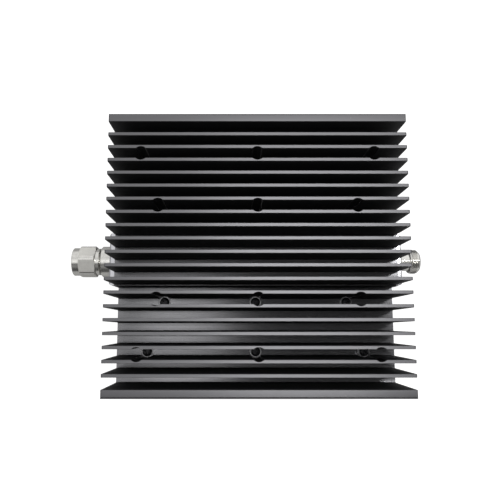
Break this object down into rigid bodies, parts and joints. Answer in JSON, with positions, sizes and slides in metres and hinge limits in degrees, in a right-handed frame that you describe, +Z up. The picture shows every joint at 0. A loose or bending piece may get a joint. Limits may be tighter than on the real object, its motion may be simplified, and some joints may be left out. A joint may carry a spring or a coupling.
{
  "type": "coaxial attenuator",
  "caption": "High power coaxial attenuator: black finned heat sinks back to back on the line axis, a screw-on plug with coupling nut at one end and a threaded socket at the other.",
  "frame": {"origin": "middle of the underside: the tip of the lower heat sink's middle fin, at half length and half width", "axes": "+X along the connector axis from the plug to the socket, +Y across the fins, +Z up out of the upper fins"},
  "size_m": [0.2281, 0.165, 0.106],
  "materials": {
    "black_anodised": "black anodised, satin",
    "clear_anodised": "clear anodised, milled",
    "black_steel": "black zinc",
    "washer_steel": "zinc plated",
    "nickel": "turned, nickel plated",
    "gold": "gold plated",
    "ptfe": "waxy",
    "silicone": "matt",
    "laminate": "matt",
    "copper": "bright copper",
    "ceramic": "fired ceramic",
    "silver": "silver foil"
  },
  "bodies": {
    "attenuator": {"upper_heat_sink": "black_anodised", "lower_heat_sink": "black_anodised", "heat_sink_screws": "black_steel", "flat_washers": "washer_steel", "spring_washers": "black_steel", "plug_end_plate": "clear_anodised", "socket_end_plate": "clear_anodised", "plug_plate_screws": "black_steel", "socket_plate_screws": "black_steel", "plug_body": "nickel", "snap_ring": "nickel", "plug_gasket": "silicone", "plug_insulator": "ptfe", "plug_centre_pin": "gold", "socket_body": "nickel", "socket_insulator": "ptfe", "socket_centre_contact": "gold", "plug_line_board": "laminate", "socket_line_board": "laminate", "plug_line_track": "copper", "socket_line_track": "copper", "board_screws": "washer_steel", "element_flange": "copper", "element_substrate": "ceramic", "element_lid": "ceramic", "plug_side_tab": "silver", "socket_side_tab": "silver", "element_screws": "washer_steel"},
    "coupling_nut": {"coupling_nut": "nickel"}
  },
  "joints": [
    {"name": "coupling_nut_spin", "type": "hinge", "parent": "attenuator", "child": "coupling_nut", "pos_m": [-0.1107, 0, 0.053], "axis": [1, 0, 0], "continuous": true}
  ]
}
